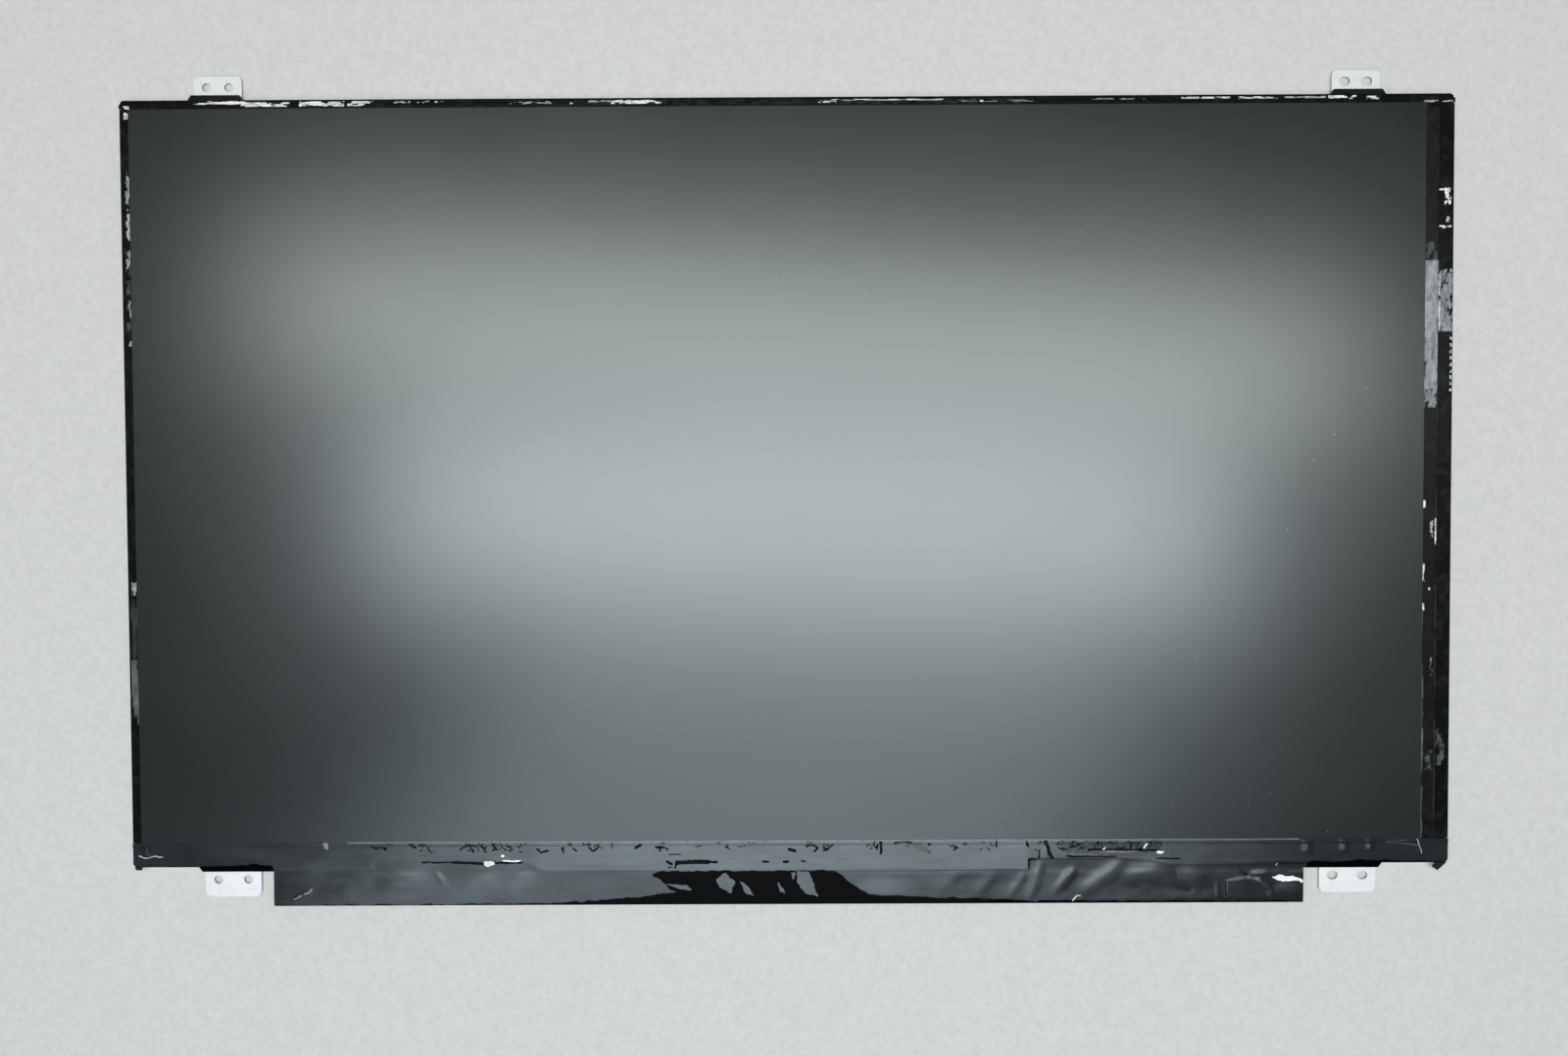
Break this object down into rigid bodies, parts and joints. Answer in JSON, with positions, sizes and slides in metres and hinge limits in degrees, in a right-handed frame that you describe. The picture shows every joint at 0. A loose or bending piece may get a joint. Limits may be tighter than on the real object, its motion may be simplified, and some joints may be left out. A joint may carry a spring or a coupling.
{
  "type": "laptop screen panel",
  "caption": "Slim laptop display module with a matte screen, black edge tape, metal fixing ears and a taped driver board along its lower edge.",
  "frame": {"origin": "on the back face, under the middle of the whole part's box", "axes": "+X along the picture's width to the right, +Y to the picture's top, +Z out of the screen"},
  "size_m": [0.3594, 0.226, 0.0031],
  "materials": {
    "cover_metal": "bright rolled sheet, stamped and folded",
    "frame_plastic": "black moulded, fine satin",
    "white_film": "white diffuse film",
    "guide_acrylic": "clear polished plate",
    "prism_film": "clear film with fine ridges",
    "flex_film": "amber flexible circuit film",
    "lamp_body": "white moulded with a yellow fill",
    "foam_tape": "black double-sided tape",
    "polariser_film": "dark clear film",
    "cell_glass": "thin glass with ground edges",
    "screen_film": "dark anti-glare film",
    "chip_silicon": "bare dark silicon",
    "board_laminate": "green lacquered laminate",
    "package_black": "moulded black",
    "inductor_ferrite": "dark grey pressed ferrite",
    "capacitor_ceramic": "tan fired ceramic",
    "connector_nylon": "black moulded",
    "connector_steel": "tinned sheet",
    "contact_plating": "gilt plating",
    "edge_tape": "black adhesive tape with residue",
    "board_tape": "black wrinkled tape with a satin sheen"
  },
  "bodies": {
    "root": {"back_cover": "cover_metal", "mid_frame": "frame_plastic", "reflector_sheet": "white_film", "light_guide": "guide_acrylic", "diffuser_film": "white_film", "lower_prism_film": "prism_film", "upper_prism_film": "prism_film", "led_strip": "flex_film", "led_packages": "lamp_body", "cell_tape": "foam_tape", "rear_polariser": "polariser_film", "tft_glass": "cell_glass", "colour_filter_glass": "cell_glass", "front_polariser": "screen_film", "driver_films": "flex_film", "driver_chips": "chip_silicon", "driver_board": "board_laminate", "timing_controller": "package_black", "power_chip": "package_black", "backlight_chip": "package_black", "memory_chip": "package_black", "power_inductors": "inductor_ferrite", "large_capacitors": "capacitor_ceramic", "small_capacitors": "capacitor_ceramic", "chip_resistors": "package_black", "connector_housing": "connector_nylon", "connector_shell": "connector_steel", "connector_contacts": "contact_plating", "top_edge_tape": "edge_tape", "left_edge_tape": "edge_tape", "right_edge_tape": "edge_tape", "board_cover_tape": "board_tape"}
  },
  "joints": []
}
